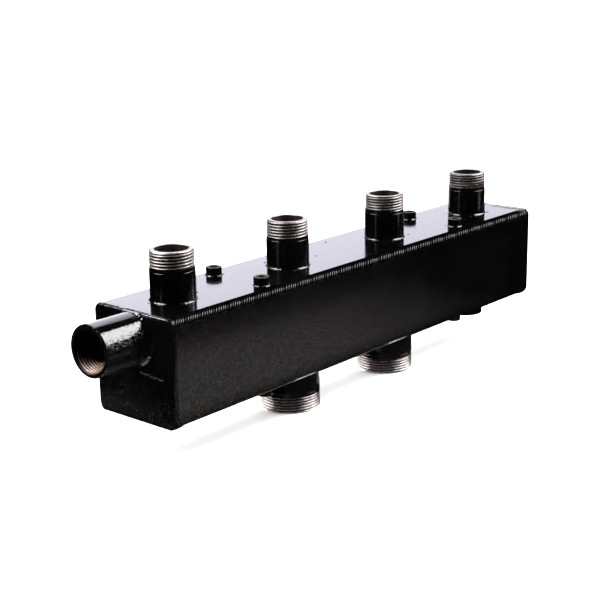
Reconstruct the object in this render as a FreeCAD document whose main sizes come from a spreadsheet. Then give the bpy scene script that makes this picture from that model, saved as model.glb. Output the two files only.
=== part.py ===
import FreeCAD, Part
import os
import Sketcher

# Heating manifold: a welded steel casing split by a partition into a flow chamber above and a return
# chamber below, with threaded circuit nipples on top and boiler nipples underneath.
# X runs along the casing from the socket end, Y from front to back, Z up. The origin is under the
# middle of the whole part, in the plane of the boiler nipples' end faces. All sizes are millimetres.

doc = FreeCAD.newDocument("HeatingManifold")

# Driving dimensions
SIZES = {
    "casing_depth": 80.0,
    "casing_height": 80.0,
    "sheet_thickness": 4.0,
    "fold_inside_radius": 1.8,
    "end_plate_thickness": 4.0,
    "end_plate_lap": 1.5,
    "end_weld_land": 0.3,
    "upper_chamber_height": 38.0,
    "partition_thickness": 3.0,
    "partition_weld_leg": 3.0,
    "partition_end_setback": 1.5,
    "hole_clearance": 0.4,
    "pipe_insertion": 6.0,
    "passage_drop": 6.0,
    "passage_weld_leg": 3.0,
    "thread_depth": 1.35,
    "thread_chamfer": 1.0,
    "shoulder_chamfer": 0.8,
    "relief_width": 2.3,
    "left_margin": 41.0,
    "right_margin": 46.0,
    "circuit_pitch": 125.0,
    "circuit_pipe_diameter": 33.7,
    "circuit_thread_step": 0.35,
    "circuit_wall": 4.35,
    "circuit_thread_length": 13.0,
    "circuit_stand": 37.4,
    "circuit_weld_leg": 3.0,
    "boiler_pipe_diameter": 47.5,
    "boiler_wall": 4.2,
    "boiler_thread_length": 13.0,
    "boiler_stand": 36.5,
    "boiler_weld_leg": 3.5,
    "socket_diameter": 38.5,
    "socket_wall": 4.1,
    "socket_length": 40.0,
    "socket_top_gap": 0.25,
    "socket_port": 27.0,
    "socket_weld_leg": 3.0,
    "socket_chamfer": 1.2,
    "drain_diameter": 32.0,
    "drain_wall": 3.95,
    "drain_length": 15.7,
    "drain_port": 20.0,
    "drain_weld_leg": 2.5,
    "drain_chamfer": 1.6,
    "boss_diameter": 12.4,
    "boss_wall": 2.8,
    "boss_height": 6.6,
    "boss_chamfer": 0.6,
    "boss_weld_leg": 1.4,
    "boss_edge_distance": 15.2,
    "left_boss_offset": 67.0,
    "right_boss_offset": 70.0,
}

sheet = doc.addObject("Spreadsheet::Sheet", "Sizes")
for row, (alias, value) in enumerate(SIZES.items(), start=1):
    sheet.set(f"A{row}", alias)
    sheet.set(f"B{row}", str(value))
    sheet.setAlias(f"B{row}", alias)
doc.recompute()

# Circuit nipples in order from the left; some run on through the partition to the return chamber
CIRCUITS = (1, 2, 3, 4)
THROUGH_CIRCUITS = (2, 4)
# Boiler nipples stand under these circuit nipples, and the second one runs on to the flow chamber
BOILER_UNDER = {1: 2, 2: 3}
THROUGH_BOILER = 2
DRAIN_UNDER = 4

# Places worked out from the driving dimensions
CASING_LENGTH = (
    f"(Sizes.left_margin + {len(CIRCUITS) - 1} * Sizes.circuit_pitch + Sizes.right_margin)"
)
LEFT = f"((Sizes.socket_length - {CASING_LENGTH}) / 2)"
RIGHT = f"({LEFT} + {CASING_LENGTH})"
FRONT = "(-Sizes.casing_depth / 2)"
BACK = "(Sizes.casing_depth / 2)"
BASE = "Sizes.boiler_stand"
TOP = "(Sizes.boiler_stand + Sizes.casing_height)"
TUBE_LEFT = f"({LEFT} + Sizes.end_plate_thickness)"
TUBE_LENGTH = f"({CASING_LENGTH} - 2 * Sizes.end_plate_thickness)"
RIGHT_PLATE = f"({RIGHT} - Sizes.end_plate_thickness)"
# Every long edge of the casing is rounded as its folds are
FOLD = "(Sizes.fold_inside_radius + Sizes.sheet_thickness)"
END_WELD = "(Sizes.sheet_thickness - Sizes.end_plate_lap)"
# Levels above the casing's underside
PARTITION_TOP = "(Sizes.casing_height - Sizes.sheet_thickness - Sizes.upper_chamber_height)"
PARTITION_UNDERSIDE = f"({PARTITION_TOP} - Sizes.partition_thickness)"
SOCKET_LEVEL = "(Sizes.casing_height - Sizes.socket_top_gap - Sizes.socket_diameter / 2)"
# How far a pipe reaches in from the casing's outer face: just inside its wall, or past the partition
SHORT_REACH = "(Sizes.sheet_thickness + Sizes.pipe_insertion)"
LONG_REACH_DOWN = f"(Sizes.casing_height - {PARTITION_UNDERSIDE} + Sizes.passage_drop)"
LONG_REACH_UP = f"({PARTITION_TOP} + Sizes.passage_drop)"

# Turned over about the X axis, for pieces that point down, and laid along -X, for the end socket
UPRIGHT = FreeCAD.Rotation()
TURNED_OVER = FreeCAD.Rotation(FreeCAD.Vector(1, 0, 0), 180)
TOWARDS_LEFT = FreeCAD.Rotation(FreeCAD.Vector(0, 1, 0), -90)

# Two lengths closer than this are the same
TOLERANCE = 1e-6

sub_parts = []


def number(expression):
    """Return the value of an expression in millimetres."""
    return float(sheet.evalExpression(expression))


def circuit_offset(index):
    """Return the distance of a circuit nipple's axis from the casing's left face."""
    return f"(Sizes.left_margin + {index - 1} * Sizes.circuit_pitch)"


def new_body(label, x, y, z, turn=UPRIGHT):
    """Add a sub-part with its label and its bound place."""
    body = doc.addObject("PartDesign::Body", label)
    body.Label = label
    body.Placement = FreeCAD.Placement(FreeCAD.Vector(), turn)
    for axis, expression in (("x", x), ("y", y), ("z", z)):
        body.setExpression(f"Placement.Base.{axis}", expression)
    sub_parts.append(body)
    return body


def new_sketch(body, name, plane):
    """Add a sketch on one of the body's own origin planes."""
    sketch = body.newObject("Sketcher::SketchObject", name)
    support = [item for item in body.Origin.OriginFeatures if item.Role == plane][0]
    sketch.AttachmentSupport = (support, [""])
    sketch.MapMode = "FlatFace"
    return sketch


def bind(sketch, kind, references, expression):
    """Add a dimension to a sketch and bind it to an expression."""
    index = sketch.addConstraint(Sketcher.Constraint(kind, *references, number(expression)))
    sketch.setExpression(f"Constraints[{index}]", expression)


def bind_point(sketch, geometry, position, u, v):
    """Bind one point of a sketch to its two coordinates."""
    bind(sketch, "DistanceX", (-1, 1, geometry, position), u)
    bind(sketch, "DistanceY", (-1, 1, geometry, position), v)


def arc_between(start, end, radius):
    """Return the short arc between two points, with its centre left of the way if radius is positive."""
    chord = end - start
    rise = max(radius ** 2 - (chord.Length / 2) ** 2, 0.0) ** 0.5
    sideways = FreeCAD.Vector(-chord.y, chord.x, 0).normalize() * rise
    centre = (start + end) / 2 + (sideways if radius > 0 else -sideways)
    circle = Part.Circle(centre, FreeCAD.Vector(0, 0, 1), abs(radius))
    first, last = (start, end) if radius > 0 else (end, start)
    return Part.ArcOfCircle(circle, circle.parameter(first), circle.parameter(last))


def outline(body, name, plane, corners):
    """Draw a closed outline, counter-clockwise.

    Each corner is (u, v) where a straight edge follows it, or (u, v, radius) where an arc does. The
    radius of a hollow arc is written with a minus sign.
    """
    sketch = new_sketch(body, name, plane)
    points = [FreeCAD.Vector(number(corner[0]), number(corner[1]), 0) for corner in corners]
    count = len(corners)
    # A hollow arc is stored from its far end, so its two ends change places
    ends = []
    for index, corner in enumerate(corners):
        start, end = points[index], points[(index + 1) % count]
        is_arc = len(corner) == 3
        radius = number(corner[2]) if is_arc else 0.0
        edge = arc_between(start, end, radius) if is_arc else Part.LineSegment(start, end)
        sketch.addGeometry(edge, False)
        ends.append((2, 1) if radius < 0 else (1, 2))
    for index, corner in enumerate(corners):
        following = (index + 1) % count
        joint = (index, ends[index][1], following, ends[following][0])
        sketch.addConstraint(Sketcher.Constraint("Coincident", *joint))
        bind_point(sketch, index, ends[index][0], corner[0], corner[1])
        if len(corner) == 3:
            bind(sketch, "Radius", (index,), f"abs({corner[2]})")
    return sketch


def circles(body, name, plane, holes):
    """Draw circles, each given as (u, v, diameter)."""
    sketch = new_sketch(body, name, plane)
    up = FreeCAD.Vector(0, 0, 1)
    for index, (u, v, diameter) in enumerate(holes):
        centre = FreeCAD.Vector(number(u), number(v), 0)
        sketch.addGeometry(Part.Circle(centre, up, number(diameter) / 2), False)
        bind_point(sketch, index, 3, u, v)
        bind(sketch, "Diameter", (index,), diameter)
    return sketch


def pad(body, sketch, length):
    """Extrude a sketch along its plane's normal."""
    feature = body.newObject("PartDesign::Pad", "Pad")
    feature.Profile = sketch
    feature.setExpression("Length", length)
    return feature


def pocket(body, sketch, length):
    """Cut a sketch into the body along its plane's normal."""
    feature = body.newObject("PartDesign::Pocket", "Pocket")
    feature.Profile = sketch
    feature.Reversed = True
    feature.setExpression("Length", length)
    return feature


def revolve(body, corners):
    """Turn a half section, given as radius and height, about the body's Z axis."""
    sketch = outline(body, "HalfSection", "XZ_Plane", corners)
    feature = body.newObject("PartDesign::Revolution", "Revolution")
    feature.Profile = sketch
    feature.ReferenceAxis = (sketch, ["V_Axis"])
    feature.Angle = 360
    return feature


def rounded_rectangle(u0, v0, u1, v1, radius, rounded_base=True):
    """Return the corners of a rectangle whose upper corners, or all of them, are rounded."""
    upper = [
        (u1, f"{v1} - {radius}", radius),
        (f"{u1} - {radius}", v1),
        (f"{u0} + {radius}", v1, radius),
        (u0, f"{v1} - {radius}"),
    ]
    if not rounded_base:
        return [(u0, v0), (u1, v0)] + upper
    lower = [
        (u0, f"{v0} + {radius}", radius),
        (f"{u0} + {radius}", v0),
        (f"{u1} - {radius}", v0, radius),
        (u1, f"{v0} + {radius}"),
    ]
    return lower + upper


# Casing shells: two equal folded angles, the second one turned over
def folded_shell(label, y, z, turn, holes):
    """Make one folded angle of the casing, with holes through the leg that lies flat."""
    body = new_body(label, TUBE_LEFT, y, z, turn)
    wall = "Sizes.sheet_thickness"
    upright_edge = f"Sizes.casing_height - {FOLD}"
    flat_edge = f"Sizes.casing_depth - {FOLD}"
    section = outline(body, "Section", "YZ_Plane", [
        (FOLD, "0"),
        (flat_edge, "0"),
        (flat_edge, wall),
        (FOLD, wall, "-Sizes.fold_inside_radius"),
        (wall, FOLD),
        (wall, upright_edge),
        ("0", upright_edge),
        ("0", FOLD, FOLD),
    ])
    pad(body, section, TUBE_LENGTH)
    pocket(body, circles(body, "Holes", "XY_Plane", holes), wall)


def shell_hole(index, diameter):
    """Return a hole in a shell's flat leg in line with a circuit nipple."""
    return (f"{circuit_offset(index)} - Sizes.end_plate_thickness", "Sizes.casing_depth / 2", diameter)


circuit_holes = [
    shell_hole(index, "Sizes.circuit_pipe_diameter + Sizes.hole_clearance") for index in CIRCUITS
]
boiler_holes = [
    shell_hole(index, "Sizes.boiler_pipe_diameter + Sizes.hole_clearance")
    for index in BOILER_UNDER.values()
]
drain_hole = shell_hole(DRAIN_UNDER, "Sizes.drain_port")
folded_shell("front_bottom_shell", FRONT, BASE, UPRIGHT, boiler_holes + [drain_hole])
folded_shell("top_back_shell", BACK, TOP, TURNED_OVER, circuit_holes)


# Long corner beads between the edges of the two shells
def seam_weld(label, y, z, turn):
    """Make the bead along one long edge of the casing; it fills the open corner down to its root."""
    body = new_body(label, TUBE_LEFT, y, z, turn)
    wall = "Sizes.sheet_thickness"
    section = outline(body, "Section", "YZ_Plane", [
        ("0", "0"), (wall, "0"), (FOLD, f"{FOLD} - {wall}"), (FOLD, FOLD, FOLD),
    ])
    pad(body, section, TUBE_LENGTH)


seam_weld("front_seam_weld", FRONT, f"{TOP} - {FOLD}", UPRIGHT)
seam_weld("back_seam_weld", BACK, f"{BASE} + {FOLD}", TURNED_OVER)


# End plates in two halves, above and below the partition's edge
def end_plate(label, x, z, turn, height, hole=None):
    """Make one half of an end plate; its straight edge lies on the partition."""
    body = new_body(label, x, "0", z, turn)
    half_depth = f"(Sizes.casing_depth / 2 - {END_WELD})"
    radius = f"({FOLD} - {END_WELD})"
    corners = rounded_rectangle(f"-{half_depth}", "0", half_depth, height, radius, rounded_base=False)
    pad(body, outline(body, "Outline", "YZ_Plane", corners), "Sizes.end_plate_thickness")
    if hole:
        pocket(body, circles(body, "Hole", "YZ_Plane", [hole]), "Sizes.end_plate_thickness")


UPPER_HEIGHT = f"(Sizes.casing_height - {PARTITION_TOP} - {END_WELD})"
LOWER_HEIGHT = f"({PARTITION_UNDERSIDE} - {END_WELD})"
socket_hole = ("0", f"{SOCKET_LEVEL} - {PARTITION_TOP}", "Sizes.socket_port")
for side, plate_x, plate_hole in (("left", LEFT, socket_hole), ("right", RIGHT_PLATE, None)):
    end_plate(f"{side}_upper_end_plate", plate_x, f"{BASE} + {PARTITION_TOP}", UPRIGHT,
              UPPER_HEIGHT, plate_hole)
    end_plate(f"{side}_lower_end_plate", plate_x, f"{BASE} + {PARTITION_UNDERSIDE}", TURNED_OVER,
              LOWER_HEIGHT)


# Beads round the end plates, rounded on their outer edge
def end_weld(label, x, outer_at_start):
    """Make the bead between an end plate's edge and the rim of the shells."""
    body = new_body(label, x, "0", BASE)
    half_depth = "Sizes.casing_depth / 2"
    plate_half_depth = f"({half_depth} - {END_WELD})"
    plate_top = f"(Sizes.casing_height - {END_WELD})"
    rim = rounded_rectangle(f"-{half_depth}", "0", half_depth, "Sizes.casing_height", FOLD)
    plate = rounded_rectangle(
        f"-{plate_half_depth}", END_WELD, plate_half_depth, plate_top, f"({FOLD} - {END_WELD})")
    ring = pad(body, outline(body, "Rim", "YZ_Plane", rim), "Sizes.end_plate_thickness")
    doc.recompute()
    outer_x = 0.0 if outer_at_start else number("Sizes.end_plate_thickness")
    edge_names = [
        f"Edge{index}" for index, edge in enumerate(ring.Shape.Edges, start=1)
        if max(abs(edge.BoundBox.XMin - outer_x), abs(edge.BoundBox.XMax - outer_x)) < TOLERANCE
    ]
    rounding = body.newObject("PartDesign::Fillet", "Rounding")
    rounding.Base = (ring, edge_names)
    rounding.setExpression("Radius", f"min({END_WELD}; Sizes.end_plate_thickness) - Sizes.end_weld_land")
    pocket(body, outline(body, "Plate", "YZ_Plane", plate), "Sizes.end_plate_thickness")


end_weld("left_end_weld", LEFT, outer_at_start=True)
end_weld("right_end_weld", RIGHT_PLATE, outer_at_start=False)

# Partition between the chambers, with holes for the pipes that cross it
PARTITION_LENGTH = f"({CASING_LENGTH} - 2 * Sizes.partition_end_setback)"
partition = new_body("partition_plate", f"{LEFT} + Sizes.partition_end_setback", "0",
                     f"{BASE} + {PARTITION_UNDERSIDE}")
partition_half_width = "(Sizes.casing_depth / 2 - Sizes.sheet_thickness)"
plate_outline = outline(partition, "Outline", "XY_Plane", [
    ("0", f"-{partition_half_width}"), (PARTITION_LENGTH, f"-{partition_half_width}"),
    (PARTITION_LENGTH, partition_half_width), ("0", partition_half_width),
])
pad(partition, plate_outline, "Sizes.partition_thickness")


def partition_hole(index, diameter):
    """Return a hole in the partition in line with a circuit nipple."""
    return (f"{circuit_offset(index)} - Sizes.partition_end_setback", "0",
            f"{diameter} + Sizes.hole_clearance")


passage_holes = [partition_hole(index, "Sizes.circuit_pipe_diameter") for index in THROUGH_CIRCUITS]
passage_holes.append(partition_hole(BOILER_UNDER[THROUGH_BOILER], "Sizes.boiler_pipe_diameter"))
pocket(partition, circles(partition, "Holes", "XY_Plane", passage_holes), "Sizes.partition_thickness")


# Beads in the slot between the end plates' halves, over the partition's edges
def partition_end_weld(label, x):
    """Make the bead that closes the slot at one end of the partition."""
    body = new_body(label, x, "0", f"{BASE} + {PARTITION_UNDERSIDE}")
    half_width = f"(Sizes.casing_depth / 2 - {END_WELD})"
    thickness = "Sizes.partition_thickness"
    section = outline(body, "Outline", "YZ_Plane", [
        (f"-{half_width}", "0"), (half_width, "0"), (half_width, thickness), (f"-{half_width}", thickness),
    ])
    pad(body, section, "Sizes.partition_end_setback")


partition_end_weld("left_partition_weld", LEFT)
partition_end_weld("right_partition_weld", f"{RIGHT} - Sizes.partition_end_setback")


# Long beads between the partition and the shells, above it in front and on its underside at the back
def partition_side_weld(label, y, z, turn):
    """Make a quarter-round bead along one long edge of the partition."""
    body = new_body(label, TUBE_LEFT, y, z, turn)
    leg = "Sizes.partition_weld_leg"
    section = outline(body, "Section", "YZ_Plane", [("0", "0"), (leg, "0", leg), ("0", leg)])
    pad(body, section, TUBE_LENGTH)


FRONT_WALL = f"{FRONT} + Sizes.sheet_thickness"
BACK_WALL = f"{BACK} - Sizes.sheet_thickness"
partition_side_weld("partition_front_weld", FRONT_WALL, f"{BASE} + {PARTITION_TOP}", UPRIGHT)
partition_side_weld("partition_back_weld", BACK_WALL, f"{BASE} + {PARTITION_UNDERSIDE}", TURNED_OVER)


def threaded_nipple(label, family, x, z, turn, reach, thread_step):
    """Make a turned nipple.

    z is the casing face that it stands on, reach its length inside that face, and thread_step how far
    its thread's crest lies below the pipe's surface.
    """
    inner_end = f"{z} - {reach}" if turn is UPRIGHT else f"{z} + {reach}"
    body = new_body(label, x, "0", inner_end, turn)
    pipe = f"Sizes.{family}_pipe_diameter / 2"
    bore = f"{pipe} - Sizes.{family}_wall"
    thread = f"{pipe} - {thread_step}"
    relief = f"{thread} - Sizes.thread_depth"
    end = f"{reach} + Sizes.{family}_stand"
    thread_start = f"{end} - Sizes.{family}_thread_length"
    shoulder = f"{thread_start} - Sizes.relief_width"
    revolve(body, [
        (bore, "0"),
        (pipe, "0"),
        (pipe, f"{shoulder} - Sizes.shoulder_chamfer"),
        (f"{pipe} - Sizes.shoulder_chamfer", shoulder),
        (relief, shoulder),
        (relief, thread_start),
        (thread, thread_start),
        (thread, f"{end} - Sizes.thread_chamfer"),
        (f"{thread} - Sizes.thread_chamfer", end),
        (bore, end),
    ])


def weld_ring(label, x, y, z, turn, diameter, leg):
    """Make a fillet bead round a pipe, with its flat side on the face at the given place."""
    body = new_body(label, x, y, z, turn)
    inner = f"{diameter} / 2"
    revolve(body, [(inner, "0"), (f"{inner} + {leg}", "0", leg), (inner, leg)])
    return body


def threaded_socket(label, family, x, z, turn):
    """Make a round socket with a chamfered rim and mouth, standing on the face at the given place."""
    body = new_body(label, x, "0", z, turn)
    outer = f"Sizes.{family}_diameter / 2"
    bore = f"{outer} - Sizes.{family}_wall"
    length = f"Sizes.{family}_length"
    chamfer = f"Sizes.{family}_chamfer"
    revolve(body, [
        (bore, "0"),
        (outer, "0"),
        (outer, f"{length} - {chamfer} / 2"),
        (f"{outer} - {chamfer} / 2", length),
        (f"{bore} + {chamfer}", length),
        (bore, f"{length} - {chamfer}"),
    ])


# Circuit nipples on top
for circuit in CIRCUITS:
    axis_x = f"{LEFT} + {circuit_offset(circuit)}"
    reach_in = LONG_REACH_DOWN if circuit in THROUGH_CIRCUITS else SHORT_REACH
    threaded_nipple(f"circuit_nipple_{circuit}", "circuit", axis_x, TOP, UPRIGHT, reach_in,
                    "Sizes.circuit_thread_step")
    weld_ring(f"circuit_weld_{circuit}", axis_x, "0", TOP, UPRIGHT,
              "Sizes.circuit_pipe_diameter", "Sizes.circuit_weld_leg")

# Boiler nipples underneath
for boiler, circuit in BOILER_UNDER.items():
    axis_x = f"{LEFT} + {circuit_offset(circuit)}"
    reach_in = LONG_REACH_UP if boiler == THROUGH_BOILER else SHORT_REACH
    threaded_nipple(f"boiler_nipple_{boiler}", "boiler", axis_x, BASE, TURNED_OVER, reach_in, "0")
    weld_ring(f"boiler_weld_{boiler}", axis_x, "0", BASE, TURNED_OVER,
              "Sizes.boiler_pipe_diameter", "Sizes.boiler_weld_leg")

# Beads where pipes cross the partition: on its upper face, and on its underside for the boiler pipe
for passage, circuit in enumerate(THROUGH_CIRCUITS, start=1):
    weld_ring(f"passage_weld_{passage}", f"{LEFT} + {circuit_offset(circuit)}", "0",
              f"{BASE} + {PARTITION_TOP}", UPRIGHT, "Sizes.circuit_pipe_diameter", "Sizes.passage_weld_leg")
boiler_passage_x = f"{LEFT} + {circuit_offset(BOILER_UNDER[THROUGH_BOILER])}"
weld_ring(f"passage_weld_{len(THROUGH_CIRCUITS) + 1}", boiler_passage_x, "0",
          f"{BASE} + {PARTITION_UNDERSIDE}", TURNED_OVER, "Sizes.boiler_pipe_diameter",
          "Sizes.passage_weld_leg")

# Female sockets: one on the left end for the flow chamber, one under the last circuit for draining
threaded_socket("end_socket", "socket", LEFT, f"{BASE} + {SOCKET_LEVEL}", TOWARDS_LEFT)
socket_weld = weld_ring("end_socket_weld", LEFT, "0", f"{BASE} + {SOCKET_LEVEL}", TOWARDS_LEFT,
                        "Sizes.socket_diameter", "Sizes.socket_weld_leg")
# The bead is trimmed level with the casing's top
trim_start = f"Sizes.casing_height - {SOCKET_LEVEL}"
trim_reach = "(Sizes.socket_diameter / 2 + 2 * Sizes.socket_weld_leg)"
trim_outline = outline(socket_weld, "Trim", "XY_Plane", [
    (trim_start, f"-{trim_reach}"), (f"{trim_start} + {trim_reach}", f"-{trim_reach}"),
    (f"{trim_start} + {trim_reach}", trim_reach), (trim_start, trim_reach),
])
pocket(socket_weld, trim_outline, "Sizes.socket_weld_leg")
drain_x = f"{LEFT} + {circuit_offset(DRAIN_UNDER)}"
threaded_socket("drain_socket", "drain", drain_x, BASE, TURNED_OVER)
weld_ring("drain_socket_weld", drain_x, "0", BASE, TURNED_OVER, "Sizes.drain_diameter",
          "Sizes.drain_weld_leg")


# Tapped bosses for brackets, in crosswise pairs on top and underneath
def bracket_boss(label, x, y, z, turn):
    """Make a boss with a chamfered rim and a tapped hole down to the casing."""
    body = new_body(label, x, y, z, turn)
    outer = "Sizes.boss_diameter / 2"
    bore = f"{outer} - Sizes.boss_wall"
    height, chamfer = "Sizes.boss_height", "Sizes.boss_chamfer"
    revolve(body, [
        (bore, "0"),
        (outer, "0"),
        (outer, f"{height} - {chamfer}"),
        (f"{outer} - {chamfer}", height),
        (f"{bore} + {chamfer}", height),
        (bore, f"{height} - {chamfer}"),
    ])


# Each pair stands after a circuit nipple, at its own distance
BOSS_PAIRS = ((1, "Sizes.left_boss_offset"), (3, "Sizes.right_boss_offset"))
BOSS_ROWS = ("(Sizes.casing_depth / 2 - Sizes.boss_edge_distance)",
             "(Sizes.boss_edge_distance - Sizes.casing_depth / 2)")
for side, boss_z, boss_turn in (("top", TOP, UPRIGHT), ("bottom", BASE, TURNED_OVER)):
    boss = 0
    for circuit, offset in BOSS_PAIRS:
        boss_x = f"{LEFT} + {circuit_offset(circuit)} + {offset}"
        for boss_y in BOSS_ROWS:
            boss += 1
            bracket_boss(f"{side}_boss_{boss}", boss_x, boss_y, boss_z, boss_turn)
            weld_ring(f"{side}_boss_weld_{boss}", boss_x, boss_y, boss_z, boss_turn,
                      "Sizes.boss_diameter", "Sizes.boss_weld_leg")

doc.recompute()

# Check every object before anything is written
for item in doc.Objects:
    if "Invalid" in item.State or "Error" in item.State:
        raise RuntimeError(f"{item.Name} failed: {item.State}")
for sub_part in sub_parts:
    if sub_part.Shape.isNull() or not sub_part.Shape.isValid():
        raise RuntimeError(f"{sub_part.Label} has no valid shape")

os.makedirs("parts", exist_ok=True)
for sub_part in sub_parts:
    sub_part.Shape.exportStep(f"parts/{sub_part.Label}.step")
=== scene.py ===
"""Dress a welded steel heating manifold: cut threads, rippled welds, gloss enamel and studio light."""

import logging
import math
import random
from bisect import bisect
from collections.abc import Callable, Iterator, Sequence
from contextlib import contextmanager
from dataclasses import dataclass
from enum import Enum
from functools import cache
from typing import Protocol

import bpy
from mathutils import Matrix, Vector

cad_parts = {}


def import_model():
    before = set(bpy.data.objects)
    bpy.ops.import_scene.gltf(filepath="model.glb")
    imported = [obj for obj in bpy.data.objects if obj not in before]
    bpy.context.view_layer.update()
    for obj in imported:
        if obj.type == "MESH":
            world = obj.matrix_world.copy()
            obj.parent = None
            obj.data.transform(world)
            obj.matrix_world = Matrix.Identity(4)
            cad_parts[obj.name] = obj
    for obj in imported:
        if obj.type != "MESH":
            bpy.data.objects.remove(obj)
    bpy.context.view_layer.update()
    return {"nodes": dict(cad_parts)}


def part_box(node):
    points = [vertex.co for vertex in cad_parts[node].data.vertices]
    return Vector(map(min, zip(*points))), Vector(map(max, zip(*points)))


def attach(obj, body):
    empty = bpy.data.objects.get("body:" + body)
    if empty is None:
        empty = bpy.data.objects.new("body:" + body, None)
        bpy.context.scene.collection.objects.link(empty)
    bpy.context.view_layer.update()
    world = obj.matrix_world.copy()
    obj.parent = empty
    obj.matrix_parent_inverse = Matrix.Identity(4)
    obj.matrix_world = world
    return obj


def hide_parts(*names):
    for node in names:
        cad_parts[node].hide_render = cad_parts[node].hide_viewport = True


LOG = logging.getLogger("manifold")
BODY = "root"

Piece = bpy.types.Object
Pattern = bpy.types.NodeSocket
Material = bpy.types.Material
Colour = tuple[float, float, float]
Corner = tuple[float, float]
# One ripple of a weld: its centre, the way along the weld and the way out of it
Ripple = tuple[Vector, Vector, Vector]

X_AXIS = Vector((1.0, 0.0, 0.0))
Z_AXIS = Vector((0.0, 0.0, 1.0))

# Pieces are modelled in millimetres at the origin, and scaled to metres when they are put in place
MM = 0.001
# Corners closer than this are one corner, in millimetres
WELD_DISTANCE = 0.002
# Each copy of a threaded piece is turned on by this angle, so that no two threads start alike
COPY_TURN = math.radians(137.5)
SMOOTH_ANGLE = math.radians(32.0)
# The attribute that tells how deep in a groove a corner lies
GROOVE = "groove"
# Rings this far from a rounded edge hold the wall beside it straight, in millimetres
HOLD = 0.25
# Cutters run this far past what they cut, in millimetres
PAST = 1.0
# A step in a turned outline that is too small to be seen, in millimetres
STEP = 0.01
# Faces this near to a surface belong to it, in millimetres, and those with this rise are level
NEAR = 0.05
LEVEL_FACE = 0.9
# Pipe threads of eleven turns to the inch
PIPE_PITCH = 2.309

CIRCUITS = tuple(f"circuit_nipple_{number}" for number in range(1, 5))
BOILERS = ("boiler_nipple_1", "boiler_nipple_2")

# Drops of spatter seen on the top plate: place along the casing and across it, and radius
SPATTER_DROPS = (
    (33.0, 26.0, 0.9), (-51.0, 19.0, 1.0), (-97.0, 20.5, 0.7), (-147.5, -1.5, 1.0), (-9.5, 0.5, 0.8),
    (97.0, -13.0, 0.8), (147.0, -17.0, 0.7), (215.5, -16.5, 1.0),
)

# The ramp and the fade of a glow that is as bright at one end as at the other
EVEN = ((0.0, 1.0), (1.0, 1.0))
NO_FADE = (90.0, 91.0)


class Combine(Enum):
    """How one solid acts on another."""

    ADD = "UNION"
    REMOVE = "DIFFERENCE"
    KEEP_COMMON = "INTERSECT"


class Facing(Enum):
    """Which way a port or boss points, as the turn of one that is modelled upright."""

    UP = (0.0, 0.0, 0.0)
    DOWN = (math.pi, 0.0, 0.0)
    LEFT = (0.0, -math.pi / 2, 0.0)

    def turn(self) -> Matrix:
        """Return the turn as a matrix."""
        x, y, _ = self.value
        return Matrix.Rotation(y, 4, "Y") @ Matrix.Rotation(x, 4, "X")


class Lay(Enum):
    """The axis that tool marks run round, as the stretch of the noise that draws them."""

    ALONG_X = (1.0, 0.02, 0.02)
    ALONG_Z = (0.02, 0.02, 1.0)


class Finish(Protocol):
    """What a piece can be dressed in."""

    def build(self) -> Material:
        """Return the finish as a material."""


def deselect_all() -> None:
    """Leave edit mode and clear the selection."""
    if bpy.context.mode != "OBJECT":
        bpy.ops.object.mode_set(mode="OBJECT")
    bpy.ops.object.select_all(action="DESELECT")


def take(*pieces: Piece) -> None:
    """Select pieces alone and make the first the active one."""
    deselect_all()
    for piece in pieces:
        piece.select_set(True)
    bpy.context.view_layer.objects.active = pieces[0]


@contextmanager
def editing(piece: Piece) -> Iterator[None]:
    """Open a piece in edit mode with all of it selected, and close it afterwards."""
    take(piece)
    bpy.ops.object.mode_set(mode="EDIT")
    bpy.ops.mesh.select_all(action="SELECT")
    yield
    bpy.ops.object.mode_set(mode="OBJECT")


@contextmanager
def editing_corners(piece: Piece, rule: Callable[[Vector], bool]) -> Iterator[None]:
    """Open a piece in edit mode with only the corners selected whose places fit a rule."""
    with editing(piece):
        bpy.ops.mesh.select_mode(type="VERT")
        bpy.ops.mesh.select_all(action="DESELECT")
    for corner in piece.data.vertices:
        corner.select = rule(corner.co)
    bpy.ops.object.mode_set(mode="EDIT")
    yield
    bpy.ops.object.mode_set(mode="OBJECT")


@contextmanager
def editing_edges(piece: Piece, rule: Callable[[Vector, Vector], bool]) -> Iterator[None]:
    """Open a piece in edit mode with only the edges selected whose two ends fit a rule."""
    with editing(piece):
        bpy.ops.mesh.select_mode(type="EDGE")
        bpy.ops.mesh.select_all(action="DESELECT")
    corners = piece.data.vertices
    for edge in piece.data.edges:
        edge.select = rule(*(corners[number].co for number in edge.vertices))
    bpy.ops.object.mode_set(mode="EDIT")
    yield
    bpy.ops.object.mode_set(mode="OBJECT")


def apply_modifier(piece: Piece, kind: str, **settings: object) -> None:
    """Add a modifier to a piece, set it and apply it.

    Args:
        piece: The object to change.
        kind: Blender's name for the modifier.
        settings: The modifier's own settings.
    """
    take(piece)
    modifier = piece.modifiers.new(kind.title(), kind)
    for name, value in settings.items():
        setattr(modifier, name, value)
    bpy.ops.object.modifier_apply(modifier=modifier.name)


def tidy_mesh(piece: Piece) -> None:
    """Merge doubled corners and turn all faces outwards."""
    with editing(piece):
        bpy.ops.mesh.remove_doubles(threshold=WELD_DISTANCE)
        bpy.ops.mesh.normals_make_consistent(inside=False)


def combine(piece: Piece, other: Piece, how: Combine) -> None:
    """Combine two solids into the first one, and remove the second."""
    apply_modifier(piece, "BOOLEAN", operation=how.value, object=other, solver="MANIFOLD")
    bpy.data.objects.remove(other)


def trim(piece: Piece, point: Vector, outward: Vector) -> None:
    """Cut a piece flat along a plane and close the cut.

    Args:
        piece: The object to cut.
        point: A point on the plane.
        outward: The plane's normal, on the side that is cut away.
    """
    with editing(piece):
        bpy.ops.mesh.bisect(
            plane_co=point, plane_no=outward, use_fill=True, clear_outer=True, threshold=WELD_DISTANCE / 10
        )


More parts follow.
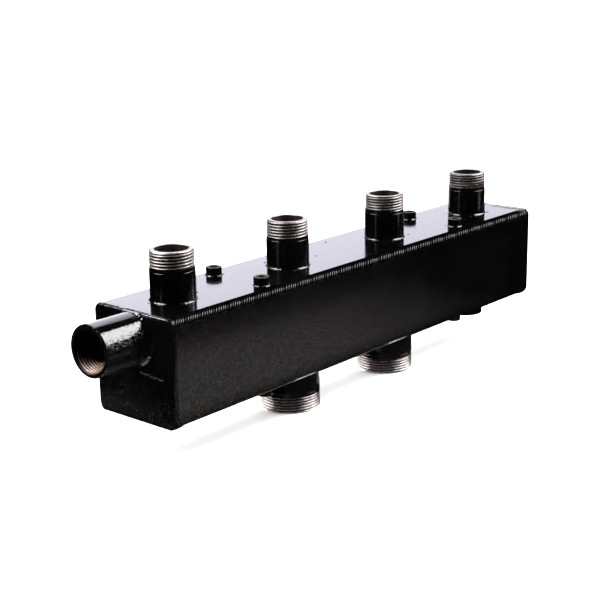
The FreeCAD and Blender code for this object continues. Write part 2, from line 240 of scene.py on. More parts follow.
def turned(name: str, profile: Sequence[Corner], segments: int, hollow: bool = False) -> Piece:
    """Turn a half section about the Z axis, drawing one ring out of the last.

    Args:
        name: The new object's name.
        profile: Corners as radius and height.
        segments: Faces round the axis.
        hollow: True closes the section on itself, and False caps its first and last rings.

    Returns:
        The turned solid.
    """
    deselect_all()
    radius, height = profile[0]
    fill = "NOTHING" if hollow else "NGON"
    bpy.ops.mesh.primitive_circle_add(
        vertices=segments, radius=radius, fill_type=fill, location=(0.0, 0.0, height)
    )
    piece = bpy.context.object
    piece.name = name
    bpy.ops.object.transform_apply()
    with editing(piece):
        rest = [*profile[1:], profile[0]] if hollow else profile[1:]
        for next_radius, next_height in rest:
            bpy.ops.mesh.extrude_edges_move(
                TRANSFORM_OT_translate={"value": (0.0, 0.0, next_height - height)}
            )
            grow = next_radius / radius
            bpy.ops.transform.resize(value=(grow, grow, 1.0), center_override=(0.0, 0.0, next_height))
            radius, height = next_radius, next_height
        if not hollow:
            bpy.ops.mesh.edge_face_add()
    tidy_mesh(piece)
    return piece


def box_of(node: str) -> tuple[Vector, Vector]:
    """Return the lowest and highest corners of one of the frame's solids, in millimetres."""
    low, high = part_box(node)
    return low / MM, high / MM


def upright_place(node: str, level: float, facing: Facing, number: int) -> Matrix:
    """Return where a copy goes that is modelled upright.

    Args:
        node: The solid that it stands for, which gives its axis.
        level: The height of its foot.
        facing: Which way it points.
        number: The copy's number, which gives its turn.

    Returns:
        Its place, in millimetres.
    """
    low, high = box_of(node)
    axis = Vector(((low.x + high.x) / 2, (low.y + high.y) / 2, level))
    turn = Matrix.Rotation(number * COPY_TURN, 4, "Z")
    return Matrix.Translation(axis) @ facing.turn() @ turn


def own_copy(piece: Piece) -> Piece:
    """Duplicate a piece with a mesh of its own."""
    take(piece)
    bpy.ops.object.duplicate()
    return bpy.context.object


def dress(
    piece: Piece, finishes: Sequence[Finish], choose: Callable[[Vector, Vector], int] | None = None
) -> None:
    """Give each face of a piece the finish that its place calls for, and shade the piece smooth.

    Args:
        piece: The object to dress, still in millimetres.
        finishes: Its finishes.
        choose: Gives a finish's number for a face's centre and normal.
    """
    piece.data.materials.clear()
    for finish in finishes:
        piece.data.materials.append(finish.build())
    for face in piece.data.polygons:
        face.material_index = choose(face.center, face.normal) if choose else 0
    take(piece)
    bpy.ops.object.shade_smooth_by_angle(angle=SMOOTH_ANGLE)


def mark_grooves(piece: Piece, depth_at: Callable[[Vector], float]) -> None:
    """Store how deep in a groove each corner lies, from 0 at the crest to 1 at the root."""
    grooves = piece.data.attributes.new(GROOVE, "FLOAT", "POINT")
    for corner, groove in zip(piece.data.vertices, grooves.data):
        groove.value = min(max(depth_at(corner.co), 0.0), 1.0)


def settle(piece: Piece, name: str, place: Matrix, *nodes: str) -> None:
    """Scale a finished piece from millimetres, settle its place in its mesh and let it ride on the part.

    Args:
        piece: The finished piece.
        name: Its name.
        place: Where it goes, in millimetres.
        nodes: The solids that it stands for.
    """
    take(piece)
    piece.name = name
    piece.matrix_world = Matrix.Scale(MM, 4) @ place
    bpy.ops.object.transform_apply(location=True, rotation=True, scale=True)
    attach(piece, BODY)
    if nodes:
        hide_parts(*nodes)
    LOG.info("%s: %d faces", piece.name, len(piece.data.polygons))


class NodeSheet:
    """A material's nodes, with short calls for the patterns that these finishes use."""

    def __init__(self, name: str) -> None:
        """Start a material with one shader and the piece's own coordinates."""
        self.material = bpy.data.materials.new(name)
        self.material.use_nodes = True
        self.tree = self.material.node_tree
        self.shader = self.tree.nodes["Principled BSDF"]
        self.coordinates = self.add("ShaderNodeTexCoord").outputs["Object"]

    def add(self, kind: str, **settings: object) -> bpy.types.Node:
        """Add a node and set its properties."""
        node = self.tree.nodes.new(kind)
        for name, value in settings.items():
            setattr(node, name, value)
        return node

    def link(self, source: Pattern, target: Pattern) -> None:
        """Link a pattern to a node's socket."""
        self.tree.links.new(source, target)

    def set(self, **values: object) -> None:
        """Set the shader's sockets, named with underscores for spaces."""
        for name, value in values.items():
            self.shader.inputs[name.replace("_", " ")].default_value = value

    def feed(self, source: Pattern, socket: str) -> None:
        """Link a pattern to one of the shader's sockets."""
        self.link(source, self.shader.inputs[socket])

    def noise(
        self, per_metre: float, detail: float = 2.0, stretch: Colour = (1.0, 1.0, 1.0)
    ) -> Pattern:
        """Return soft noise of a given scale.

        Args:
            per_metre: Features to the metre.
            detail: Octaves of finer noise.
            stretch: Factors on the three coordinates.

        Returns:
            The noise's height.
        """
        mapping = self.add("ShaderNodeMapping")
        mapping.inputs["Scale"].default_value = stretch
        self.link(self.coordinates, mapping.inputs["Vector"])
        node = self.add("ShaderNodeTexNoise")
        node.inputs["Scale"].default_value = per_metre
        node.inputs["Detail"].default_value = detail
        self.link(mapping.outputs["Vector"], node.inputs["Vector"])
        return node.outputs["Fac"]

    def dots(self, per_metre: float, radius: float) -> Pattern:
        """Return scattered round dots, 1 in their middle and 0 between them.

        Args:
            per_metre: Cells to the metre.
            radius: A dot's size as a share of its cell.

        Returns:
            The dots' height.
        """
        node = self.add("ShaderNodeTexVoronoi")
        node.inputs["Scale"].default_value = per_metre
        self.link(self.coordinates, node.inputs["Vector"])
        return self.span(node.outputs["Distance"], 0.0, radius, 1.0, 0.0)

    def part(self, axis: str, vector: Pattern | None = None) -> Pattern:
        """Return one axis of a vector, or else of the piece's own coordinates."""
        node = self.add("ShaderNodeSeparateXYZ")
        self.link(self.coordinates if vector is None else vector, node.inputs["Vector"])
        return node.outputs[axis]

    def tilt(self, low: float, high: float, at_low: float, at_high: float) -> Pattern:
        """Return a value by a face's tilt, spread between two rises of its normal."""
        normal = self.add("ShaderNodeTexCoord").outputs["Normal"]
        return self.span(self.part("Z", normal), low, high, at_low, at_high)

    def groove(self) -> Pattern:
        """Return how deep in a groove the surface lies."""
        return self.add("ShaderNodeAttribute", attribute_name=GROOVE).outputs["Fac"]

    def span(self, source: Pattern, low: float, high: float, at_low: float, at_high: float) -> Pattern:
        """Return a pattern with one range of values spread over another."""
        node = self.add("ShaderNodeMapRange")
        for index, value in enumerate((low, high, at_low, at_high), start=1):
            node.inputs[index].default_value = value
        self.link(source, node.inputs["Value"])
        return node.outputs["Result"]

    def blend(self, share: Pattern, first: Colour | Pattern, second: Colour) -> Pattern:
        """Return a mix of two colours by a pattern, where the first may be a pattern itself."""
        node = self.add("ShaderNodeMix", data_type="RGBA")
        # A mix has its sockets for colours after those for numbers and vectors
        a, b = node.inputs[6], node.inputs[7]
        if isinstance(first, Pattern):
            self.link(first, a)
        else:
            a.default_value = (*first, 1.0)
        b.default_value = (*second, 1.0)
        self.link(share, node.inputs["Factor"])
        return node.outputs[2]

    def join(self, first: Pattern, second: Pattern, how: str = "MULTIPLY") -> Pattern:
        """Return two patterns put together, by a product or as Blender's name for the sum says."""
        node = self.add("ShaderNodeMath", operation=how)
        self.link(first, node.inputs[0])
        self.link(second, node.inputs[1])
        return node.outputs["Value"]

    def emboss(self, *layers: tuple[Pattern, float]) -> None:
        """Raise the surface by patterns, each with its height in metres."""
        normal = None
        for height, distance in layers:
            node = self.add("ShaderNodeBump")
            node.inputs["Distance"].default_value = distance
            self.link(height, node.inputs["Height"])
            if normal:
                self.link(normal, node.inputs["Normal"])
            normal = node.outputs["Normal"]
        self.feed(normal, "Normal")


@dataclass(frozen=True)
class Enamel:
    """Gloss black enamel, sprayed, with orange peel, fine grain and dust nibs."""

    name: str = "black_enamel"
    deep: Colour = (0.0004, 0.0004, 0.00045)
    thin: Colour = (0.0012, 0.0011, 0.0011)
    cloud_per_metre: float = 24.0
    gloss: float = 0.05
    dull: float = 0.11
    haze_per_metre: float = 60.0
    index: float = 1.52
    peel_per_metre: float = 330.0
    peel_height: float = 0.000020
    grain_per_metre: float = 900.0
    grain_height: float = 0.00003
    nibs_per_metre: float = 480.0
    nib_size: float = 0.30
    nib_height: float = 0.00005
    sheen: float = 0.5
    # Gloss on the crowns of a rippled weld alone: dull between its ripples and on its upper flank
    crowns_only: bool = False
    # Flecks of stronger gloss, with their share on level faces, and the gloss left on an underside
    speckle: float = 0.0
    speckle_per_metre: float = 850.0
    level_speckle: float = 0.24
    under_gloss: float = 0.10
    # Dust in flecks and as a thin film, which also paint the floor's reflection: the masks hold them to the
    # lower, near-left part that the reflection lights, from where they lie thickest to where they end
    dust_and_sheen: Colour | None = None
    dust_per_metre: float = 480.0
    dust_size: float = 0.22
    drift_per_metre: float = 260.0
    sheen_film: float = 0.09
    film_per_metre: float = 760.0
    dust_and_sheen_from_x: Corner = (-0.20, 0.12)
    dust_and_sheen_from_z: Corner = (0.045, 0.110)

    # Rises of the normal between which an upright face gives way to a level one
    LEVEL = (0.3, 0.85)
    # The same for an underside and for a weld's upper flank
    UNDER = (-0.20, 0.0)
    FLANK = (0.74, 0.88)
    # Depths between which a crown gives way to a valley, and the gloss left there
    VALLEY = (0.28, 0.60)
    VALLEY_GLOSS = 0.03

    @cache
    def build(self) -> Material:
        """Return the finish as a material."""
        sheet = NodeSheet(self.name)
        upright = sheet.tilt(*self.LEVEL, 1.0, 0.0)
        cloud = sheet.span(sheet.noise(self.cloud_per_metre, detail=4.0), 0.35, 0.7, 0.0, 1.0)
        colour = sheet.blend(cloud, self.deep, self.thin)
        if self.dust_and_sheen:
            # Dust flecks with a painted reflection, lighter on the lower, near-left upright faces
            colour = sheet.blend(sheet.join(self.dust_and_painted_sheen(sheet), upright), colour, self.dust_and_sheen)
        sheet.feed(colour, "Base Color")
        if self.speckle:
            sheet.feed(self.flecks(sheet), "Specular IOR Level")
        elif self.crowns_only:
            crowns = sheet.span(sheet.groove(), *self.VALLEY, 1.0, self.VALLEY_GLOSS)
            flank = sheet.tilt(*self.FLANK, self.sheen, 0.0)
            sheet.feed(sheet.join(crowns, flank), "Specular IOR Level")
        else:
            sheet.set(Specular_IOR_Level=self.sheen)
        haze = sheet.noise(self.haze_per_metre, detail=3.0)
        sheet.feed(sheet.span(haze, 0.3, 0.75, self.gloss, self.dull), "Roughness")
        sheet.set(IOR=self.index)
        grain = sheet.noise(self.grain_per_metre)
        nibs = sheet.dots(self.nibs_per_metre, self.nib_size)
        sheet.emboss(
            (sheet.noise(self.peel_per_metre, detail=1.0), self.peel_height),
            (sheet.join(grain, sheet.tilt(*self.LEVEL, 1.0, 0.5)), self.grain_height),
            (sheet.join(nibs, upright), self.nib_height),
        )
        return sheet.material

    def flecks(self, sheet: NodeSheet) -> Pattern:
        """Return the gloss of a speckled coat, weak on its undersides."""
        noise = sheet.noise(self.speckle_per_metre, detail=3.0)
        change = sheet.span(noise, 0.40, 0.70, -0.7 * self.sheen, self.speckle)
        change = sheet.join(change, sheet.tilt(*self.LEVEL, 1.0, self.level_speckle))
        change = sheet.span(change, -1.0, 1.0, self.sheen - 1.0, self.sheen + 1.0)
        return sheet.join(change, sheet.tilt(*self.UNDER, self.under_gloss, 1.0))

    def dust_and_painted_sheen(self, sheet: NodeSheet) -> Pattern:
        """Return flecks of dust and a fine film, thickest low down at the socket's end: dust together with
        a painted reflection of the floor.
        """
        along = sheet.span(sheet.part("X"), *self.dust_and_sheen_from_x, 1.0, 0.0)
        low = sheet.span(sheet.part("Z"), *self.dust_and_sheen_from_z, 1.0, 0.15)
        thick = sheet.span(sheet.noise(self.drift_per_metre, detail=3.0), 0.46, 0.64, 0.0, 1.0)
        flecks = sheet.join(sheet.dots(self.dust_per_metre, self.dust_size), thick)
        sheen_film = sheet.span(sheet.noise(self.film_per_metre), 0.40, 0.70, 0.0, self.sheen_film)
        return sheet.join(sheet.join(flecks, sheen_film, "MAXIMUM"), sheet.join(along, low))


@dataclass(frozen=True)
class CutSteel:
    """Bare steel off the lathe, with tool marks, handling stains, painted shade darkening its thread's
    roots and, in places, rust.
    """

    name: str
    bright: Colour = (0.39, 0.355, 0.345)
    stained: Colour = (0.20, 0.168, 0.157)
    stains_per_metre: float = 260.0
    # Painted shade in the thread's grooves, and the groove depths over which it deepens
    root_shade: Colour = (0.035, 0.030, 0.028)
    root_shade_from: Corner = (0.40, 1.0)
    shine: float = 0.36
    matt: float = 0.54
    wear_per_metre: float = 420.0
    lay: Lay = Lay.ALONG_Z
    marks_per_metre: float = 5200.0
    mark_height: float = 0.000004
    pits_per_metre: float = 900.0
    pit_height: float = 0.000006
    rust_centre: Colour | None = None
    rust_reach: float = 0.032
    rust_from_z: Corner = (0.1430, 0.1480)
    rust_colour: Colour = (0.017, 0.008, 0.0055)
    rust_per_metre: float = 380.0

    @cache
    def build(self) -> Material:
        """Return the finish as a material."""
        sheet = NodeSheet(self.name)
        stain = sheet.span(sheet.noise(self.stains_per_metre, detail=5.0), 0.40, 0.66, 0.0, 1.0)
        colour = sheet.blend(stain, self.bright, self.stained)
        # Painted shade: the grooves darken towards the thread's roots, by how deep they lie
        colour = sheet.blend(sheet.span(sheet.groove(), *self.root_shade_from, 0.0, 1.0), colour, self.root_shade)
        marks = sheet.noise(self.marks_per_metre, stretch=self.lay.value)
        wear = sheet.noise(self.wear_per_metre, detail=3.0)
        roughness = sheet.span(wear, 0.3, 0.75, self.shine, self.matt)
        if self.rust_centre:
            rust = self.rust_share(sheet)
            colour = sheet.blend(rust, colour, self.rust_colour)
            roughness = sheet.join(roughness, sheet.span(rust, 0.0, 1.0, 0.0, 0.45), "ADD")
            sheet.feed(sheet.span(rust, 0.0, 1.0, 1.0, 0.0), "Metallic")
            sheet.feed(sheet.span(rust, 0.0, 1.0, 0.5, 0.1), "Specular IOR Level")
        else:
            sheet.set(Metallic=1.0)
        sheet.feed(colour, "Base Color")
        sheet.feed(roughness, "Roughness")
        pits = sheet.noise(self.pits_per_metre, detail=3.0)
        sheet.emboss((marks, self.mark_height), (pits, self.pit_height))
        return sheet.material

    def rust_share(self, sheet: NodeSheet) -> Pattern:
        """Return the rust's cover, patchy and thinning out upwards and from its middle."""
        away = sheet.add("ShaderNodeVectorMath", operation="DISTANCE")
        away.inputs[1].default_value = self.rust_centre
        sheet.link(sheet.coordinates, away.inputs[0])
        near = sheet.span(away.outputs["Value"], 0.25 * self.rust_reach, self.rust_reach, 1.0, 0.2)
        low = sheet.span(sheet.part("Z"), *self.rust_from_z, 1.0, 0.0)
        patchy = sheet.span(sheet.noise(self.rust_per_metre, detail=4.0), 0.31, 0.51, 0.2, 1.0)
        return sheet.span(sheet.join(sheet.join(near, low), patchy), 0.08, 0.40, 0.0, 1.0)


@dataclass(frozen=True)
class MillScale:
    """Dull dark oxide on the steel inside the pipes and chambers."""

    name: str = "mill_scale"
    dark: Colour = (0.012, 0.010, 0.009)
    brown: Colour = (0.040, 0.027, 0.021)
    patches_per_metre: float = 90.0
    pits_per_metre: float = 700.0
    pit_height: float = 0.00003

    @cache
    def build(self) -> Material:
        """Return the finish as a material."""
        sheet = NodeSheet(self.name)
        patches = sheet.noise(self.patches_per_metre, detail=5.0)
        colour = sheet.blend(sheet.span(patches, 0.35, 0.7, 0.0, 1.0), self.dark, self.brown)
        sheet.feed(colour, "Base Color")
        sheet.feed(sheet.span(patches, 0.3, 0.7, 0.4, 0.62), "Roughness")
        sheet.set(Metallic=0.6)
        sheet.emboss((sheet.noise(self.pits_per_metre, detail=4.0), self.pit_height))
        return sheet.material


ENAMEL = Enamel()
CASING_ENAMEL = Enamel(
    "speckled_black_enamel", gloss=0.09, dull=0.15, nibs_per_metre=600.0, nib_height=0.00012, speckle=1.0,
    dust_and_sheen=(0.12, 0.101, 0.094),
)
SOCKET_ENAMEL = Enamel("nibbed_black_enamel", nibs_per_metre=850.0, nib_size=0.48, nib_height=0.00022)
# Lighter enamel for the partition's line: a painted highlight, since the socket blocks the light that would
# catch it
HIGHLIGHT_ENAMEL = Enamel("painted_highlight_enamel", deep=(0.020, 0.018, 0.018), thin=(0.060, 0.054, 0.052))
END_ENAMEL = Enamel(
    "dry_black_enamel", nibs_per_metre=600.0, nib_height=0.00015, sheen=0.3, speckle=0.7,
    dust_and_sheen=(0.15, 0.125, 0.114), dust_per_metre=640.0, dust_size=0.24, sheen_film=0.0, dust_and_sheen_from_z=(0.037, 0.068),
)
WELD_ENAMEL = Enamel("weld_black_enamel", sheen=0.17, gloss=0.12, dull=0.2)
SEAM_ENAMEL = Enamel("seam_black_enamel", sheen=0.27, crowns_only=True, gloss=0.08, dull=0.14)
CORNER_ENAMEL = Enamel("corner_black_enamel", sheen=0.08, gloss=0.12, dull=0.2)
THREAD_STEEL = CutSteel("thread_steel")
# A lighter copy of the thread steel for the boiler threads: painted light, so that they show brighter
# highlights
LIT_THREAD_STEEL = CutSteel(
    "lit_thread_steel", bright=(0.43, 0.395, 0.39), stained=(0.22, 0.185, 0.172), shine=0.27, matt=0.40
)
FACED_STEEL = CutSteel(
    "faced_steel", bright=(0.37, 0.345, 0.335), stained=(0.25, 0.225, 0.215), shine=0.40, matt=0.58
)
# Darker than the other threads: rust, and painted shade for the far nipple, which gets less light
RUSTY_SHADED_STEEL = CutSteel(
    "rusty_shaded_thread_steel", bright=(0.22, 0.20, 0.195), stained=(0.11, 0.092, 0.085), shine=0.42, matt=0.60,
    rust_centre=(0.2158, -0.0125, 0.1400),
)
TAPPED_STEEL = CutSteel(
    "tapped_steel", bright=(0.36, 0.265, 0.22), stained=(0.20, 0.135, 0.105), root_shade_from=(0.05, 0.50),
    lay=Lay.ALONG_X,
)
BOSS_STEEL = CutSteel(
    "boss_steel", bright=(0.11, 0.085, 0.072), stained=(0.04, 0.028, 0.022), shine=0.5, matt=0.7
)
SCALE = MillScale()


@dataclass(frozen=True)
class ThreadForm:
    """A round-cornered pipe or screw thread."""

    crest_radius: float
    depth: float
    pitch: float
    steps: int = 96

    # One tooth from root to root, as shares of the pitch and of the depth
    TOOTH = (
        (0.00, 0.0), (0.07, 0.0), (0.15, 0.10), (0.34, 0.90), (0.42, 1.0),
        (0.58, 1.0), (0.66, 0.90), (0.85, 0.10), (0.93, 0.0), (1.00, 0.0),
    )
    # A tapped hole is this much wider than the thread's bore
    CLEARANCE = 0.02

    def rod(self, name: str, bottom: float, top: float) -> Piece:
        """Make a solid rod with this thread, cut square at both ends.

        Args:
            name: The new object's name.
            bottom: The height of its lower end.
            top: The height of its upper end.

        Returns:
            The rod, about the Z axis.
        """
        start = bottom - 1.5 * self.pitch
        turns = math.ceil((top - start) / self.pitch) + 1
        tooth = self.tooth(name, start)
        apply_modifier(
            tooth, "SCREW", axis="Z", angle=math.tau, screw_offset=self.pitch, iterations=turns,
            steps=self.steps, render_steps=self.steps, use_merge_vertices=False,
        )
        tidy_mesh(tooth)
        trim(tooth, top * Z_AXIS, Z_AXIS)
        trim(tooth, bottom * Z_AXIS, -Z_AXIS)
        tidy_mesh(tooth)
        return tooth

    def tooth(self, name: str, start: float) -> Piece:
        """Draw one tooth's outline as a chain of edges above a starting height."""
        deselect_all()
        bpy.ops.mesh.primitive_plane_add(size=self.pitch, rotation=(math.pi / 2, 0.0, 0.0))
        piece = bpy.context.object
        piece.name = name
        bpy.ops.object.transform_apply()
        with editing_corners(piece, lambda place: place.x > 0.0):
            bpy.ops.mesh.delete(type="VERT")
            bpy.ops.mesh.select_all(action="SELECT")
            bpy.ops.mesh.subdivide(number_cuts=len(self.TOOTH) - 2)
        root = self.crest_radius - self.depth
        chain = sorted(piece.data.vertices, key=lambda corner: corner.co.z)
        for corner, (along, rise) in zip(chain, self.TOOTH):
            corner.co = (root + rise * self.depth, 0.0, start + along * self.pitch)
        return piece

    def tapped_ring(self, radius: float, length: float, rim: float, mouth: float, segments: int) -> Piece:
        """Turn an upright ring and cut this thread through it.

        Args:
            radius: Its outer radius.
            length: Its height.
            rim: The chamfer of its upper rim.
            mouth: The chamfer of its hole.
            segments: Faces round the axis.

        Returns:
            The ring, on height 0.
        """
        bore = self.crest_radius - self.depth
        hole = bore + self.CLEARANCE
        profile = [
            (hole, 0.0), (radius, 0.0), (radius, length - rim - HOLD), (radius, length - rim),
            (radius - 0.3 * rim, length - 0.3 * rim), (radius - rim, length),
            (bore + mouth, length), (hole, length - mouth),
        ]
        ring = turned("ring", profile, segments, hollow=True)
        combine(ring, self.rod("tap", -PAST, length + PAST), Combine.REMOVE)
        tidy_mesh(ring)
        return ring


@dataclass(frozen=True)
class Bead:
    """A weld laid as overlapping ripples and fused to one skin."""

    half_width: float
    height: float
    ripple: float
    ripple_length: float
    slant_deg: float = 0.0
    unevenness: float = 0.05
    wander: float = 0.0
    # Ripples in a group, and how far its ends lie below its crown
    group: int = 0
    group_dip: float = 0.0
    voxel: float = 0.35
    seed: int = 1

    def lay(self, name: str, route: Sequence[Ripple]) -> Piece:
        """Lay ripples along a route and fuse them.

        Args:
            name: The new object's name.
            route: The ripples' places.

        Returns:
            The bead, in millimetres.
        """
        deselect_all()
        bpy.ops.mesh.primitive_uv_sphere_add(segments=20, ring_count=12, radius=1.0)
        ripple = bpy.context.object
        chance = random.Random(self.seed)
        ripples = []
        for number, (centre, along, out) in enumerate(route):
            dip = self.dip(number)
            grow = 1.0 + chance.uniform(-self.unevenness, self.unevenness)
            shift = along * chance.uniform(-1.0, 1.0) * self.unevenness * self.ripple
            shift += out.cross(along) * chance.uniform(-1.0, 1.0) * self.wander
            copy = bpy.data.objects.new(name, ripple.data.copy())
            copy.data.transform(self.placed(centre + shift, along, out, grow, dip))
            bpy.context.scene.collection.objects.link(copy)
            ripples.append(copy)
        bpy.data.objects.remove(ripple)
        take(*ripples)
        bpy.ops.object.join()
        apply_modifier(ripples[0], "REMESH", mode="VOXEL", voxel_size=self.voxel)
        apply_modifier(ripples[0], "SMOOTH", factor=0.5, iterations=2)
        return ripples[0]

    def dip(self, number: int) -> float:
        """Return how far a ripple lies below the crown of its group."""
        if not self.group:
            return 0.0
        middle = (self.group - 1) / 2
        return self.group_dip * ((number % self.group - middle) / middle) ** 2

    def placed(self, centre: Vector, along: Vector, out: Vector, grow: float, dip: float) -> Matrix:
        """Return where one ripple goes: a coin across the weld, turned about the way out of it."""
        axes = Matrix((along, out.cross(along), out)).transposed().to_4x4()
        slant = Matrix.Rotation(math.radians(self.slant_deg), 4, "Z")
        sizes = (self.ripple_length, self.half_width - dip, (self.height - dip) * grow, 1.0)
        return Matrix.Translation(centre) @ axes @ slant @ Matrix.Diagonal(sizes)

    def ring(self, radius: float, sink: float, top: float | None = None) -> Piece:
        """Lay a ring weld in the corner between an upright pipe and the face at height 0.

        Args:
            radius: The pipe's radius.
            sink: How far the ring runs into the face.
            top: Where it is cut off on its +X side, if it is.

        Returns:
            The ring, dressed.
        """
        ring = self.lay("ring", ring_route(radius, self.ripple))
        trim(ring, -sink * Z_AXIS, -Z_AXIS)
        if top is not None:
            trim(ring, top * X_AXIS, X_AXIS)
        dress(ring, (ENAMEL,))
        return ring


def ring_route(radius: float, ripple: float) -> list[Ripple]:
    """Return a route round the Z axis, in the corner between a pipe and the face at height 0."""
    count = round(math.tau * radius / ripple)
    route = []
    for number in range(count):
        angle = math.tau * number / count
        radial = Vector((math.cos(angle), math.sin(angle), 0.0))
        along = Vector((-radial.y, radial.x, 0.0))
        route.append((radial * radius, along, (radial + Z_AXIS).normalized()))
    return route


def straight_route(
    start: Vector, end: Vector, out: Vector, ripple: float, spread: float = 0.0
) -> list[Ripple]:
    """Return a route along a line.

    Args:
        start: The first ripple's centre.
        end: The last ripple's centre.
        out: The way out of the weld.
        ripple: The distance between ripples, on average.
        spread: The share by which that distance is shorter at the start and longer at the end.

    Returns:
        The ripples' places.
    """
    count = round((end - start).length / ripple)
    along = (end - start).normalized()
    shares = (number / count for number in range(count + 1))
    bent = (share + spread * (share * share - share) for share in shares)
    return [(start.lerp(end, share), along, out.normalized()) for share in bent]


@dataclass
class Nipples:
    """A family of pipe ends with a painted shoulder and a bare, screw-cut thread."""

    nodes: tuple[str, ...]
    facing: Facing
    face_height: float
    thread: ThreadForm
    bead: Bead
    steel: Finish
    bore_radius: float
    thread_length: float = 13.0
    shoulder_length: float = 2.3
    shoulder_round: float = 0.3
    end_chamfer: float = 1.0
    mouth_chamfer: float = 0.2
    # The thread starts this far below the shoulder's end
    lap: float = 0.2
    # The core is this much thicker than the thread's root, and this long
    core_cover: float = 0.1
    core_length: float = 0.4
    # The room that the thread is cut to reaches this far past its crest
    room: float = 0.6
    # Neither this near to the pipe's end nor to its bore is a groove darkened by the painted shade
    unshaded_end: float = 0.5
    unshaded_wall: float = 1.0
    segments: int = 96
    round_steps: int = 4
    weld_sink: float = 0.3
    # The one whose thread is rusty and darker, the darkness being painted shade
    rusty_and_shaded: str = ""

    def __post_init__(self) -> None:
        """Read the pipe's radius and its lengths from the frame."""
        low, high = box_of(self.nodes[0])
        self.pipe_radius = round((high.x - low.x) / 2, 2)
        self.stand = abs((high.z if self.facing is Facing.UP else low.z) - self.face_height)
        self.thread_start = self.stand - self.thread_length

    def reach(self, node: str) -> float:
        """Return how far a pipe runs into the casing."""
        low, high = box_of(node)
        return abs((low.z if self.facing is Facing.UP else high.z) - self.face_height)

    def model(self) -> Piece:
        """Turn the pipe, cut its thread and bore it."""
        crest = self.thread.crest_radius
        core = crest - self.thread.depth + self.core_cover
        start, reach = self.thread_start, self.reach(self.nodes[0])
        shoulder = start - self.shoulder_length
        edge = self.shoulder_round
        neck = min(crest + 2 * STEP, self.pipe_radius - edge) - STEP
        turns = (math.pi / 2 * step / self.round_steps for step in range(self.round_steps + 1))
        rounding = [
            (self.pipe_radius - edge + edge * math.cos(turn), shoulder - edge + edge * math.sin(turn))
            for turn in turns
        ]
        outline = [
            (self.pipe_radius, -reach), (self.pipe_radius, shoulder - edge - HOLD), *rounding,
            (neck, shoulder), (neck, start), (core, start), (core, start + self.core_length),
        ]
        pipe = turned("nipple", outline, self.segments)
        screw = self.thread.rod("thread", start - self.lap, self.stand + PAST)
        wide = crest + self.room
        envelope = [
            (wide, start - PAST), (wide, self.stand - self.end_chamfer - self.room),
            (crest - self.end_chamfer, self.stand),
        ]
        combine(screw, turned("envelope", envelope, self.segments), Combine.KEEP_COMMON)
        combine(pipe, screw, Combine.ADD)
        bore, mouth = self.bore_radius, self.mouth_chamfer
        hole = [
            (bore, -reach - PAST), (bore, self.stand - mouth),
            (bore + mouth, self.stand), (bore + mouth, self.stand + PAST),
        ]
        combine(pipe, turned("bore", hole, self.segments), Combine.REMOVE)
        tidy_mesh(pipe)
        mark_grooves(pipe, self.groove_at)
        return pipe

    def groove_at(self, place: Vector) -> float:
        """Return how deep in the thread a place on the nipple lies."""
        radius = math.hypot(place.x, place.y)
        outside = radius >= self.bore_radius + self.unshaded_wall
        if outside and self.thread_start <= place.z < self.stand - self.unshaded_end:
            return (self.thread.crest_radius - radius) / self.thread.depth
        return 0.0

    def finish_of(self, centre: Vector, normal: Vector) -> int:
        """Return 0 for enamel, 1 for the cut thread, 2 for the bore's scale and 3 for the faced rim."""
        radius = math.hypot(centre.x, centre.y)
        if centre.z > self.stand - NEAR and normal.z > LEVEL_FACE:
            return 3
        if radius < self.bore_radius + NEAR and centre.z < self.stand - self.mouth_chamfer - STEP:
            return 2
        return 1 if centre.z > self.thread_start else 0

    def build(self) -> None:
        """Model one nipple and its weld, and put a copy at every place."""
        pipe = self.model()
        dress(pipe, (ENAMEL, self.steel, SCALE, FACED_STEEL), self.finish_of)
        ring = self.bead.ring(self.pipe_radius, self.weld_sink)
        first_reach = self.reach(self.nodes[0])
        for number, node in enumerate(self.nodes):
            place = upright_place(node, self.face_height, self.facing, number)
            copy = own_copy(pipe)
            with editing_corners(copy, lambda corner: corner.z < NEAR - first_reach):
                bpy.ops.transform.translate(value=(0.0, 0.0, first_reach - self.reach(node)))
            if node == self.rusty_and_shaded:
                copy.data.materials[1] = RUSTY_SHADED_STEEL.build()
            settle(copy, node.replace("nipple", "threaded_nipple"), place, node)
            weld = node.replace("nipple", "weld")
            settle(own_copy(ring), weld.replace("weld", "ring_weld"), place, weld)
        bpy.data.objects.remove(pipe)
        bpy.data.objects.remove(ring)


